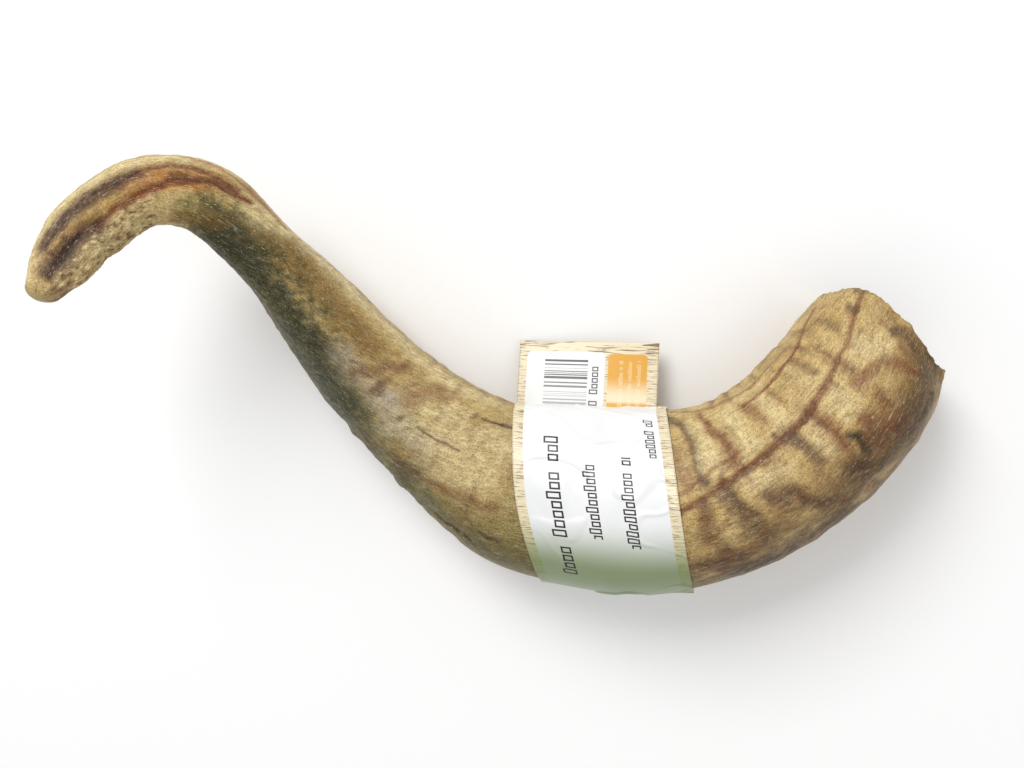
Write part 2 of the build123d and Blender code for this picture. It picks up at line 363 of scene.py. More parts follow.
# Stains, bands, grooves and slits, laid on in this order: colour, half width, strength,
# raggedness, depth of the mark in the skin, and the (along, round) places that it runs through.
MARKS = [
    (BRONZE, 6, 0.85, 0.8, 0, [(50, -36), (56, -50), (62, -56), (70, -56), (82, -44), (92, -26), (102, -8)]),
    (MOSS, 14, 0.8, 2.0, 0, [(52, -8), (62, 4), (74, 28), (88, 56), (102, 78), (114, 98), (126, 114)]),
    (OLIVE, 9, 0.85, 1.6, 0, [(55, -24), (63, -18), (71, 0), (84, 26), (96, 46), (108, 66)]),
    (CHARCOAL, 6, 0.4, 1.6, 0, [(58, -24), (66, -14), (73, 4), (88, 28), (98, 42)]),
    (OLIVE, 8, 0.5, 2.0, 0, [(62, 50), (78, 66), (94, 72), (108, 92)]),
    (SILVER, 5, 0.5, 1.6, 0, [(98, 20), (107, 32), (116, 38)]),
    (SILVER, 5, 0.6, 1.6, 0, [(115, 42), (124, 56), (131, 62)]),
    (CREAM, 9, 0.6, 1.6, 0, [(128, 36), (137, 58), (148, 56)]),
    (
        CREAM, 4.5, 0.75, 0.6, 0,
        [(58, -98), (70, -116), (80, -90), (92, -68), (107, -42), (122, -20), (138, -4)],
    ),
    (BROWN, 3, 0.55, 1.2, 0.1, [(105, 27), (108, 6), (113, -8)]),
    (BROWN, 2, 0.6, 1.2, 0.1, [(112, 38), (112, 20)]),
    (RUST, 3, 0.4, 1.5, 0.1, [(121, 28), (124, 2)]),
    (RUST, 2, 0.3, 1.5, 0, [(127, 10), (129, -14)]),
    (PURPLE, 0.5, 0.85, 0.3, 0.2, [(140, 22), (146, 25)]),
    (PURPLE, 0.9, 0.9, 0.3, 0.2, [(146, 25), (156, 30)]),
    (BROWN, 1.2, 0.7, 0.4, 0, [(138, 21)]),
    (PURPLE, 0.45, 0.6, 0.4, 0.15, [(127, 50), (133, 54), (140, 56)]),
    (PURPLE, 1.0, 0.6, 0.5, 0.1, [(122, 49)]),
    (RUST, 1.4, 0.6, 0.8, 0.1, [(132, 92), (140, 91), (147, 88), (154, 88)]),
    (BROWN, 2.5, 0.45, 1.2, 0.1, [(118, 92), (122, 106)]),
    (BROWN, 2.5, 0.45, 1.2, 0.1, [(127, 84), (130, 106)]),
    (MOSS, 6, 0.6, 2.0, 0, [(136, 120), (150, 122), (164, 134)]),
    (MOSS, 8, 0.35, 2.0, 0, [(134, 104), (150, 104), (166, 110)]),
    (PURPLE, 0.9, 0.9, 0.9, 0.5, [(143, 123), (148, 122), (152, 125)]),
    (PURPLE, 0.6, 0.7, 0.5, 0.2, [(153, 110), (157, 112)]),
    (CREAM, 5, 0.5, 2.0, 0, [(140, 76), (150, 72)]),
    (ORANGE, 3.0, 0.7, 1.0, 0, [(30, -96), (38, -100), (48, -104)]),
    (ORANGE, 1.6, 0.5, 0.8, 0, [(24, -70), (34, -76), (46, -90)]),
    (GOLD, 3.0, 0.75, 1.0, 0, [(3, -102), (12, -90), (20, -84), (30, -82)]),
    (CREAM, 3.0, 0.75, 0.5, 0, [(2, -150), (12, -146), (20, -136), (30, -128), (40, -134), (50, -146)]),
    (PURPLE, 2.1, 0.95, 0.5, 0.6, [(8, -122), (14, -112), (20, -109), (27, -104), (33, -106)]),
    (RUST, 0.9, 0.8, 0.6, 0.4, [(33, -106), (38, -114), (44, -116), (52, -108)]),
    (PURPLE, 2.4, 1.0, 0.6, 1.0, [(3, -86), (8, -78), (13, -71), (19, -69)]),
    (CHARCOAL, 0.9, 0.7, 0.6, 0.3, [(4, -84), (9, -76), (14, -70)]),
    (PURPLE, 3.2, 0.5, 0.8, 0, [(5, -74), (10, -64), (16, -58)]),
    (RUST, 1.0, 0.85, 0.5, 0.5, [(19, -69), (28, -65), (36, -78), (46, -98), (56, -104)]),
    (PURPLE, 1.1, 0.5, 0.8, 0.3, [(40, -96), (50, -104)]),
    (RUST, 0.7, 0.55, 0.6, 0.2, [(42, -150), (50, -134), (58, -122), (66, -112)]),
    (ORANGE, 1.2, 0.5, 0.6, 0, [(44, -138), (54, -126), (64, -116)]),
    (BRONZE, 2.0, 0.7, 1.0, 0.2, [(40, -22), (47, -38), (54, -54)]),
    (RUST, 1.1, 0.85, 0.5, 0.5, [(196, 97), (207, 91), (216, 89), (224, 88), (233, 89), (240, 87)]),
    (RUST, 0.7, 0.75, 0.5, 0.3, [(239, 87), (246, 86), (252, 86), (258, 80), (262, 76)]),
    (BROWN, 0.8, 0.6, 0.5, 0.1, [(210, 92), (226, 90), (236, 90)]),
    (RUST, 0.6, 0.6, 0.5, 0.2, [(197, 87), (207, 79), (216, 78)]),
    (RUST, 0.7, 0.75, 0.5, 0.2, [(222, 50), (232, 51), (241, 53), (250, 50), (258, 40)]),
    (RUST, 0.7, 0.5, 0.5, 0.1, [(198, 16), (214, 30), (230, 38), (244, 40)]),
    (PURPLE, 1.7, 0.7, 1.0, 0.2, [(197, 26), (202, 40), (204, 56), (204, 84)]),
    (RUST, 2.6, 0.4, 1.2, 0, [(198, 60), (200, 80)]),
    (RUST, 2.2, 0.7, 1.2, 0.2, [(210, 48), (212, 60), (213, 72), (212, 82)]),
    (RUST, 1.8, 0.5, 1.2, 0.1, [(209, 34), (210, 44)]),
    (RUST, 2.2, 0.55, 1.2, 0.1, [(221, 50), (223, 60), (224, 70)]),
    (RUST, 1.5, 0.4, 1.0, 0.1, [(232, 56), (232, 70)]),
    (BROWN, 1.2, 0.45, 0.8, 0.1, [(241, 56), (242, 76)]),
    (BROWN, 1.1, 0.45, 0.8, 0.1, [(248, 62), (248, 79)]),
    (BROWN, 1.2, 0.45, 0.8, 0.1, [(254, 54), (254, 74)]),
    (PURPLE, 1.0, 0.6, 0.8, 0.1, [(258, 72), (258, 80)]),
    (PURPLE, 0.9, 0.7, 0.6, 0.1, [(224, 84)]),
    (BROWN, 2.2, 0.65, 1.2, 0.1, [(202, 96), (202, 106), (202, 118)]),
    (PURPLE, 2.8, 0.65, 1.6, 0.2, [(207, 96), (208, 106), (210, 120), (212, 138)]),
    (RUST, 1.8, 0.4, 1.2, 0, [(218, 93), (218, 104)]),
    (PURPLE, 2.4, 0.65, 1.4, 0.2, [(227, 95), (228, 106), (228, 116)]),
    (RUST, 2.4, 0.55, 1.4, 0.1, [(235, 94), (234, 108), (234, 120)]),
    (PURPLE, 2.0, 0.65, 1.4, 0.2, [(216, 110), (219, 122), (222, 135), (224, 145)]),
    (PURPLE, 2.6, 0.6, 1.4, 0.2, [(231, 130), (234, 142)]),
    (CHARCOAL, 1.2, 0.8, 0.6, 0.8, [(236, 119), (237, 126), (236, 134)]),
    (BROWN, 3.0, 0.5, 1.4, 0.1, [(238, 128), (240, 144)]),
    (RUST, 2.4, 0.5, 1.4, 0, [(240, 118), (243, 132), (244, 144)]),
    (RUST, 1.8, 0.6, 1.2, 0.1, [(246, 104), (251, 112), (253, 128), (254, 142)]),
    (PURPLE, 2.2, 0.65, 1.6, 0.3, [(259, 114), (259, 132)]),
    (PURPLE, 2.0, 0.5, 1.4, 0.1, [(204, 130), (206, 142)]),
    (PURPLE, 1.8, 0.5, 1.4, 0.1, [(217, 150), (216, 160)]),
    (BROWN, 1.4, 0.55, 1.0, 0.1, [(197, 136), (202, 140), (207, 146)]),
    (CREAM, 3.5, 0.7, 1.0, 0, [(206, 46), (207, 70)]),
    (CREAM, 3.5, 0.7, 1.0, 0, [(217, 46), (218, 76)]),
    (CREAM, 3.0, 0.6, 1.0, 0, [(228, 58), (228, 80)]),
    (CREAM, 2.6, 0.6, 1.0, 0, [(214, 98), (222, 108)]),
    (CREAM, 4.0, 0.6, 1.0, 0, [(240, 98), (240, 110)]),
    (CREAM, 3.0, 0.5, 1.0, 0, [(252, 92), (254, 110)]),
    (CREAM, 2.4, 0.5, 1.0, 0, [(231, 100), (231, 114)]),
]

# Growth rings: where along the horn each one lies.
RINGS = [70, 78, 86, 94, 101, 107, 112, 118, 124, 130, 136, 142, 149, 156, 164, 172, 180, 188]
RINGS += [196, 203, 209, 215, 221, 227, 233, 240, 246, 252, 258]

# The ridge that runs from the tip's inner edge over the twist.
KEEL = [(42, -30), (48, -46), (53, -63), (59, -74), (68, -82), (80, -72), (94, -52), (108, -30)]

broad = layered_noise(grain / (14, 14, 20), 5)
blotches = layered_noise(grain / (5, 5, 8), 9)
strands = fibres(0.9, 22, 13)
threads = fibres(0.4, 7, 17, 2)
grit = layered_noise(grain / (0.8, 0.8, 1.2), 41)
frayed = 0.35 * fibres(1.1, 3.5, 19) + 0.65 * layered_noise(grain / 1.5, 21)
cross_lines = layered_noise(grain / (7, 7, 0.9), 25, 2)

middle = over_stretch(48, 70, 186, 204)
base_end = smoothstep(186, 204, at_along)
ragged_tip = smoothstep(40, 26, at_along) * over_turns(-63, 35, 12)  # its fibrous, pitted face
rim_wear = smoothstep(reach - 5, reach, at_along)
DARKEST, PALEST = 0.004, 0.9
CONTRAST = 1.35

tone = np.tile(STRAW, at_along.shape + (1,))
depth = np.zeros(at_along.shape)


def paint(colour, amount):
    """Lays a colour over the horn's skin."""
    amount = np.clip(amount, 0, 1)[..., None]
    tone[:] = tone * (1 - amount) + colour * amount


# ---------------------------------------------------------------- horn: ground colours and painted shade
paint(TAN, 0.55 * middle + 0.25 * smoothstep(0.1, 0.8, broad))
paint(GOLD, (0.2 + 0.1 * middle) * smoothstep(0.0, 0.9, blotches))
paint(GOLD, 0.3 * base_end * (0.6 + 0.5 * broad))
paint(GOLD, 0.3 * base_end * over_turns(110, 250, 30))
paint(TAN, 0.5 * over_turns(150, 290, 40) * (0.7 + 0.5 * broad))
# Partly the base's own darker brown, partly painted shade: its outer side is darkened with brown.
paint(BROWN, 0.7 * base_end * over_turns(128, 180, 24) * (0.75 + 0.5 * blotches))
rusty = smoothstep(-0.1, 0.9, broad + 0.5 * blotches)
paint(RUST, 0.3 * base_end * over_turns(150, 300, 30) * rusty)
frosted = middle * smoothstep(112, 122, at_along) * over_turns(20, 90, 20)
paint(GREY, 0.35 * frosted * smoothstep(-0.2, 0.6, grit))
# Painted green bounce light and shade, in moss and charcoal, on the lower sides of the middle and the base.
paint(MOSS, 0.5 * middle * over_turns(105, 175, 20) * (0.8 + 0.4 * blotches))
paint(MOSS, 0.4 * base_end * over_turns(140, 172, 16) * smoothstep(-0.4, 0.6, blotches))
paint(CHARCOAL, 0.4 * base_end * over_turns(140, 176, 18) * (0.8 + 0.4 * blotches))
paint(CREAM, 0.3 * smoothstep(0.3, 1.0, -blotches))

# ---------------------------------------------------------------- horn: growth rings
ring_waves = 1.9 * layered_noise(grain / (9, 9, 30), 23, 2) + 0.25 * frayed
ring_presence = smoothstep(-0.35, 0.75, layered_noise(grain / (6, 6, 5), 29, 2))
for ring in RINGS:
    offset = at_along + ring_waves - ring
    strength = smoothstep(60, 110, ring) * (0.45 + 0.55 * smoothstep(150, 200, ring)) * ring_presence
    haze = smoothstep(-4.2, -0.4, offset) * smoothstep(0.9, 0.0, offset)
    paint(RUST, 0.42 * strength * haze * (0.85 + 0.4 * frayed))
    paint(PURPLE, 0.36 * strength * bell(offset + 0.4, 1.0))
    depth += 0.22 * strength * bell(offset, 1.1)
    depth -= 0.14 * strength * bell(offset - 2.4, 1.6)

# ---------------------------------------------------------------- horn: the marks, one by one
for colour, width, strength, ragged, sunk, line in MARKS:
    distance = line_distance(line, 0.8 * ragged) / width
    fringe = min(ragged, 1.0)
    spread = smoothstep(1.35, 0.1, distance + fringe * (0.4 * frayed + 0.2 * blotches))
    paint(colour, strength * spread * (0.95 + 0.15 * strands + 0.2 * grit))
    depth += sunk * smoothstep(1.4, 0.0, distance)

# ---------------------------------------------------------------- horn: worn tip and rim
paint(GREY, 0.35 * ragged_tip)
paint(BROWN, 0.4 * ragged_tip * smoothstep(0.0, 0.8, -blotches) * smoothstep(32, 14, at_along))
paint(CREAM, 0.65 * ragged_tip * smoothstep(0.15, 0.8, grit))
paint(BROWN, 0.65 * ragged_tip * smoothstep(0.15, 0.8, -grit))
paint(GREY, 0.5 * rim_wear * smoothstep(0.0, 0.7, grit))
paint(BROWN, 0.5 * rim_wear * smoothstep(0.0, 0.7, -blotches))
tone *= (1 + 0.07 * strands + 0.05 * threads + 0.06 * cross_lines + 0.09 * grit)[..., None]
tone = np.clip(tone, DARKEST, PALEST) ** CONTRAST

# ---------------------------------------------------------------- horn: relief of the skin
keel = smoothstep(4.0, 0.0, line_distance(KEEL, 0.4))
relief = -depth + 0.25 * broad + 0.16 * blotches + 0.05 * strands + 0.7 * keel
relief += 0.16 * ragged_tip * grit + 0.25 * rim_wear * grit + 0.05 * cross_lines
outer_lumps = over_stretch(100, 112, 160, 172) * over_turns(100, 160)
relief += 0.55 * outer_lumps * layered_noise(grain / (5, 5, 3.2), 47, 2)
relief += 0.12 * layered_noise(grain / (1.6, 1.6, 2.2), 53, 2)
# Under the label nothing stands up that would come through the paper.
UNDER_LABEL = -0.1
under_label = over_stretch(138, 144, 202, 206)
flattened = relief * (1 - under_label) + UNDER_LABEL * under_label
relief = np.where(relief > UNDER_LABEL, flattened, relief)
relief *= smoothstep(-1, 12, at_along)
skin = outer + outer_normals * relief[..., None]

# The worn rim: how far it runs past the square cut at each angle round the section.
rim_turns = np.degrees(angles)
rim_reach = RIM_TOP * bell(rim_turns - 78, 30)
rim_reach -= RIM_LOW * bell(wrapped(rim_turns - 168, 360), 34)
rim_reach -= np.clip(0.5 * layered_noise(grain / 2.2, 61)[-1] + 0.15, 0, None)
rim_fade = smoothstep(reach - RIM_ZONE, reach, along)[:, None, None]
skin += ahead[:, None] * rim_fade * rim_reach[None, :, None]

# ---------------------------------------------------------------- horn: tip, sawn wall and hollow
first_centre = skin[0].mean(axis=0)
tip_end = TIP + TO_ORIGIN
swings = pi / 2 * (1 - (np.arange(CAP_ROWS)[:, None, None] + 0.5) / CAP_ROWS)
cap = first_centre + (tip_end - first_centre) * np.sin(swings) + (skin[0] - first_centre) * np.cos(swings)

deep = np.linspace(reach, knots[CAVITY_START], CAVITY_ROWS)
deep_values, _, deep_inner, deep_across = section_frames(deep)
hollow = egg_points(deep_values, deep_inner, deep_across, wall=deep_values[:, WALL]) + TO_ORIGIN
hollow_grain = np.empty(hollow.shape)
hollow_grain[..., 0] = HOLLOW_RADIUS * np.cos(angles)
hollow_grain[..., 1] = HOLLOW_RADIUS * np.sin(angles)
hollow_grain[..., 2] = deep[:, None]
hollow_noise = layered_noise(hollow_grain / (3, 3, 6), 67)
hollow += surface_normals(hollow) * 0.3 * hollow_noise[..., None]
hollow_fade = smoothstep(reach - RIM_ZONE, reach, deep)[:, None, None]
hollow += ahead[-1] * hollow_fade * rim_reach[None, :, None]

wall = np.array([skin[-1] * (1 - share) + hollow[0] * share for share in WALL_SHARES])
wall_noise = layered_noise(wall / 0.8, 73)
wall += ahead[-1] * (0.22 * wall_noise[..., None] - 0.1)

# ---------------------------------------------------------------- horn: one closed mesh
all_rows = np.concatenate([cap, skin, wall, hollow])
horn_points = np.concatenate([all_rows.reshape(-1, 3), [tip_end], [hollow[-1].mean(axis=0)]])
horn_faces = ring_faces(len(all_rows), ROWS_ROUND)
tip_index = len(all_rows) * ROWS_ROUND
hollow_index = tip_index + 1
for j in range(ROWS_ROUND):
    k = (j + 1) % ROWS_ROUND
    horn_faces.append((tip_index, k, j))
    horn_faces.append((hollow_index, tip_index - ROWS_ROUND + j, tip_index - ROWS_ROUND + k))

wall_tone = (0.7 + 0.35 * wall_noise)[..., None] * (0.6 * TAN + 0.4 * BROWN)
hollow_tone = (0.55 + 0.3 * hollow_noise)[..., None] * (0.6 * BROWN + 0.4 * TAN)
tip_tone = tone[:12].mean(axis=(0, 1))
cap_share = np.linspace(0.9, 0.1, CAP_ROWS)[:, None, None]
cap_tone = tone[:1] * (1 - cap_share) + tip_tone * cap_share
tones = np.concatenate([cap_tone, tone, wall_tone, hollow_tone]).reshape(-1, 3)
tones = np.concatenate([tones, tone[0, :1], hollow_tone[-1, :1]])

cap_grain = np.repeat(grain[:1], CAP_ROWS, axis=0)
cap_grain[..., 2] -= np.linspace(4, 0.5, CAP_ROWS)[:, None]
wall_grain = np.stack([grain[-1] * (1 - 0.2 * share) for share in WALL_SHARES])
grains = np.concatenate([cap_grain, grain, wall_grain, hollow_grain]).reshape(-1, 3)
grains = np.concatenate([grains, [[0, 0, -4.5]], [[0, 0, knots[CAVITY_START]]]])

cap_raw = np.zeros(cap.shape[:2])
skin_raw = np.clip(ragged_tip + rim_wear, 0, 1)
inside_raw = np.ones((len(wall) + len(hollow), ROWS_ROUND))
raw = np.concatenate([cap_raw, skin_raw, inside_raw])

horn = new_mesh("ram_horn", horn_points, horn_faces)
store(horn, "tone", np.clip(tones, 0.003, PALEST))
store(horn, "grain", grains)
store(horn, "raw", np.concatenate([raw.ravel(), [0, 1]]))
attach(horn, "horn")
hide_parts("horn_sheath")


# ---------------------------------------------------------------- node helpers
class Shader:
    """A material and short ways to add and join its nodes."""

    def __init__(self, name):
        self.material = bpy.data.materials.new(name)
        self.material.use_nodes = True
        self.tree = self.material.node_tree
        self.surface = self.tree.nodes["Principled BSDF"]

    def node(self, kind, **settings):
        made = self.tree.nodes.new("ShaderNode" + kind)
        for key, value in settings.items():
            setattr(made, key, value)
        return made

    def put(self, socket, value):
        """Sets a socket, or joins another node's socket to it."""
        if isinstance(value, bpy.types.NodeSocket):
            self.tree.links.new(value, socket)
        else:
            socket.default_value = value

    def finish(self, name, value):
        """Sets or joins one of the surface's own sockets."""
        self.put(self.surface.inputs[name], value)

    def maths(self, operation, *values, clamp=False):
        made = self.node("Math", operation=operation, use_clamp=clamp)
        for socket, value in zip(made.inputs, values):
            self.put(socket, value)
        return made.outputs[0]

    def attribute(self, name, output="Vector"):
        return self.node("Attribute", attribute_name=name).outputs[output]

    def stretched(self, vector, scale, rotation=(0, 0, 0)):
        made = self.node("Mapping")
        self.put(made.inputs["Vector"], vector)
        made.inputs["Rotation"].default_value = rotation
        made.inputs["Scale"].default_value = scale
        return made.outputs[0]

    def noise(self, vector, scale=1.0, detail=3.0, roughness=0.55, distortion=0.0):
        made = self.node("TexNoise")
        self.put(made.inputs["Vector"], vector)
        made.inputs["Scale"].default_value = scale
        made.inputs["Detail"].default_value = detail
        made.inputs["Roughness"].default_value = roughness
        made.inputs["Distortion"].default_value = distortion
        return made.outputs["Fac"]

    def between(self, value, low, high, to_low=0.0, to_high=1.0):
        """A smooth rise from to_low to to_high as the value goes from low to high."""
        made = self.node("MapRange", interpolation_type="SMOOTHSTEP")
        for socket, given in zip(made.inputs, (value, low, high, to_low, to_high)):
            self.put(socket, given)
        return made.outputs[0]

    def mix(self, amount, first, second, blend="MIX"):
        """The first colour with the second one laid over it."""
        made = self.node("Mix", data_type="RGBA", blend_type=blend)
        self.put(made.inputs["Factor"], amount)
        for socket, colour in zip(made.inputs[6:8], (first, second)):
            self.put(socket, colour if isinstance(colour, bpy.types.NodeSocket) else rgba(colour))
        return made.outputs[2]

    def bump(self, height, strength, distance, under=None):
        """A bump of so many millimetres, on top of the bumps under it."""
        made = self.node("Bump")
        made.inputs["Strength"].default_value = strength
        made.inputs["Distance"].default_value = distance * MM
        self.put(made.inputs["Height"], height)
        if under is not None:
            self.put(made.inputs["Normal"], under)
        return made.outputs["Normal"]


# ---------------------------------------------------------------- horn material
def horn_keratin():
    """Dull keratin with the painted skin's colours, fine fibres, specks and pale scratches."""
    shader = Shader("horn_keratin")
    place = shader.attribute("grain")
    painted = shader.attribute("tone", "Color")
    fine = shader.noise(shader.stretched(place, (2.4, 2.4, 0.3)), detail=5.0, roughness=0.6)
    hairs = shader.noise(shader.stretched(place, (4.5, 4.5, 0.8)), detail=2.0, distortion=1.2)
    mottle = shader.noise(shader.stretched(place, (0.9, 0.9, 0.7)), detail=7.0, roughness=0.75)
    speckle = shader.noise(shader.stretched(place, (3.4, 3.4, 2.6)), detail=4.0, roughness=0.7)
    slanted = shader.stretched(place, (4.2, 4.2, 0.22), rotation=(0.5, 0.35, 0.0))
    scratches = shader.noise(slanted, detail=1.0, distortion=0.6)

    fibre_shade = shader.between(fine, 0.38, 0.66, 0.0, 0.55)
    shade = shader.mix(fibre_shade, painted, linear(150, 120, 78), "MULTIPLY")
    shade = shader.mix(shader.between(mottle, 0.4, 0.6, 0.15, 1.0), painted, shade)
    speck_shade = shader.between(speckle, 0.42, 0.62, 0.0, 0.8)
    shade = shader.mix(speck_shade, shade, linear(190, 168, 142), "MULTIPLY")
    flecks = shader.maths("MULTIPLY", shader.between(hairs, 0.6, 0.72), 0.45)
    shade = shader.mix(flecks, shade, linear(235, 222, 186))
    scratched = shader.maths("MULTIPLY", shader.between(scratches, 0.66, 0.72), 0.25)
    shade = shader.mix(scratched, shade, linear(228, 214, 180))
    shader.finish("Base Color", shade)
    shader.finish("Specular IOR Level", 0.32)

    # The sawn, torn and worn places are duller than the skin.
    polished = shader.between(mottle, 0.3, 0.7, 0.36, 0.58)
    dullness = shader.maths("MULTIPLY", shader.attribute("raw", "Fac"), 0.3)
    shader.finish("Roughness", shader.maths("ADD", polished, dullness, clamp=True))
    bumps = shader.bump(fine, 0.35, 0.25)
    bumps = shader.bump(mottle, 0.3, 0.35, bumps)
    bumps = shader.bump(speckle, 0.25, 0.12, bumps)
    shader.finish("Normal", bumps)
    return shader.material


horn.data.materials.append(horn_keratin())


# ---------------------------------------------------------------- label: directions and sheets
ruling = np.array((cos(SLEEVE_CLIMB), 0, sin(SLEEVE_CLIMB)))
level_in = np.array((0, 1.0, 0))
sleeve_up = np.cross(ruling, level_in)
edge_normal = np.array((cos(EDGE_SKEW), sin(EDGE_SKEW), 0))
flag_out = level_in * cos(FLAG_DIP) - sleeve_up * sin(FLAG_DIP)
flag_normal = np.cross(ruling, flag_out)


def sleeve_point(turn):
    """The point of the sleeve's middle section at an angle round it."""
    wide = SLEEVE_ACROSS * sin(turn) * (1 - EGG * cos(turn))
    return SLEEVE_CENTRE + level_in * SLEEVE_INWARD * cos(turn) + sleeve_up * wide


def paper_piece(name, face, back, strip):
    """A closed sheet of paper from the grids of its two faces, with the strip's own coordinates."""
    rows, columns = face.shape[:2]
    count = rows * columns
    faces = []
    for i in range(rows - 1):
        for j in range(columns - 1):
            a = i * columns + j
            faces.append((a, a + 1, a + columns + 1, a + columns))
            faces.append((count + a, count + a + columns, count + a + columns + 1, count + a + 1))
    edge = list(range(columns))
    edge += [i * columns + columns - 1 for i in range(1, rows)]
    edge += [(rows - 1) * columns + j for j in range(columns - 2, -1, -1)]
    edge += [i * columns for i in range(rows - 2, 0, -1)]
    for a, b in zip(edge, edge[1:] + edge[:1]):
        faces.append((b, a, count + a, count + b))
    piece = new_mesh(name, np.concatenate([face.reshape(-1, 3), back.reshape(-1, 3)]), faces)
    store(piece, "strip", np.concatenate([strip.reshape(-1, 3), strip.reshape(-1, 3)]))
    store(piece, "printed", np.concatenate([np.ones(count), np.zeros(count)]))
    return piece


def strip_places(w, v):
    """The strip's own coordinates, for a material to read."""
    return np.stack([w, v, np.zeros_like(w)], axis=-1)


# ---------------------------------------------------------------- label: sleeve
w_line = np.linspace(-STRIP_WIDTH / 2, STRIP_WIDTH / 2, BAND_COLUMNS)
first_turn = CREASE_ANGLE + CREASE_HALF_GAP
turns = np.linspace(first_turn, first_turn + 2 * (pi - CREASE_HALF_GAP), BAND_ROWS)
centre_line = np.array([sleeve_point(turn) for turn in turns])
v_line = running_length(centre_line)
loop = v_line[-1]
band = np.zeros((BAND_ROWS, BAND_COLUMNS, 3))
for i, point in enumerate(centre_line):
    shift = (w_line - (point - SLEEVE_CENTRE) @ edge_normal) / (edge_normal @ ruling)
    band[i] = point + shift[:, None] * ruling
tangent = np.gradient(centre_line, axis=0)
tangent /= np.linalg.norm(tangent, axis=1, keepdims=True)
out_normal = np.cross(tangent, ruling)
out_normal *= np.sign(((centre_line - SLEEVE_CENTRE) * out_normal).sum())
v_grid, w_grid = np.meshgrid(v_line, w_line, indexing="ij")

# The paper is drawn in from the ruled sleeve to lie close round the horn.
SEARCH_DEPTH = 9.0
ROOM_WHERE_NONE = 4.0  # taken where no horn is found under the paper
CLEARANCE = 0.12
horn_tree = BVHTree.FromPolygons([Vector(p) for p in horn_points], horn_faces)
room = np.zeros(v_grid.shape)
for i in range(BAND_ROWS):
    inward_ray = Vector(-out_normal[i])
    for j in range(BAND_COLUMNS):
        hit_distance = horn_tree.ray_cast(Vector(band[i, j]), inward_ray, SEARCH_DEPTH)[3]
        room[i, j] = ROOM_WHERE_NONE if hit_distance is None else hit_distance
closeness = blurred(blurred(room, 12, 10), 8, 6) - 0.3
closeness = np.clip(np.minimum(closeness, room - CLEARANCE), -0.2, 5)
closeness = blurred(closeness, 3, 2)
closeness *= smoothstep(0, 6, v_grid) * smoothstep(loop, loop - 6, v_grid)
band -= out_normal[:, None] * closeness[..., None]

# Soft wrinkles, sharper folds and a loose edge, none of them at the crease.
strip_place = strip_places(w_grid, v_grid)
wrinkle = 0.4 * layered_noise(strip_place / (9, 14, 1), 91, 2)
skewed_place = strip_places(w_grid + 0.6 * v_grid, v_grid - 0.4 * w_grid)
fold_lines = 1 - np.abs(layered_noise(skewed_place / (16, 11, 1), 95, 2))
wrinkle += 0.4 * smoothstep(0.84, 1.0, fold_lines)
loose_edge = smoothstep(14, STRIP_WIDTH / 2, np.abs(w_grid))
wrinkle += 0.12 * loose_edge * (0.6 + layered_noise(strip_place / (30, 9, 1), 97, 1))
away_from_crease = smoothstep(0, 3, v_grid) * smoothstep(loop, loop - 3, v_grid)
wrinkle = np.clip(wrinkle, 0, None) * away_from_crease

# The edge nearer the tip bows out towards it where the strip crosses the top of the horn.
bow = -1.5 * bell(v_grid - 44, 17) * smoothstep(19, -19, w_grid)
band += bow[..., None] * ruling
band_face = band + out_normal[:, None] * (wrinkle + PAPER)[..., None]
band_back = band + out_normal[:, None] * wrinkle[..., None]

# Each end of the band turns out along the flag, and ends short of the part that is stuck.
LIP_STRIP = 0.4  # how far the print runs on along each lip
lip = (CREASE_CENTRE + w_line[:, None] * ruling + flag_out * LIP)[None]
band_face = np.concatenate(
    [lip + flag_normal * (HALF_FILM + PAPER), band_face, lip - flag_normal * (HALF_FILM + PAPER)]
)
band_back = np.concatenate([lip + flag_normal * HALF_FILM, band_back, lip - flag_normal * HALF_FILM])
first_lip_place = strip_places(w_line, np.full_like(w_line, -LIP_STRIP))[None]
last_lip_place = strip_places(w_line, np.full_like(w_line, loop + LIP_STRIP))[None]
band_place = np.concatenate([first_lip_place, strip_place, last_lip_place])
label_sleeve = paper_piece("label_sleeve", band_face, band_back, band_place)
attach(label_sleeve, "horn")
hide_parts("label_band")

# ---------------------------------------------------------------- label: flag
out_line = np.linspace(STUCK_FROM, FLAG_HEIGHT, FLAG_ROWS)
out_grid, flag_w = np.meshgrid(out_line, w_line, indexing="ij")
curl = 0.35 * (out_grid / FLAG_HEIGHT) ** 2 * np.sin(flag_w / 7.0)
curl += 0.2 * (out_grid / FLAG_HEIGHT) ** 2 * (flag_w / (STRIP_WIDTH / 2))
flag_middle = CREASE_CENTRE + flag_w[..., None] * ruling + out_grid[..., None] * flag_out
flag_middle += curl[..., None] * flag_normal
printed_place = strip_places(flag_w, -out_grid)
reverse_place = strip_places(flag_w, loop + out_grid)
flag_front = paper_piece(
    "label_flag_printed",
    flag_middle[::-1] + flag_normal * (HALF_FILM + PAPER),
    flag_middle[::-1] + flag_normal * HALF_FILM,
    printed_place[::-1],
)
flag_back = paper_piece(
    "label_flag_reverse",
    flag_middle - flag_normal * (HALF_FILM + PAPER),
    flag_middle - flag_normal * HALF_FILM,
    reverse_place,
)
glue = paper_piece(
    "label_flag_glue",
    flag_middle[::-1] + flag_normal * HALF_FILM,
    flag_middle[::-1] - flag_normal * HALF_FILM,
    printed_place[::-1],
)
for ply, node, finish in (
    (flag_front, "label_flag_front", "label_paper"),
    (flag_back, "label_flag_back", "label_paper"),
    (glue, "flag_glue", "label_adhesive"),
):
    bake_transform(ply)
    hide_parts(node)

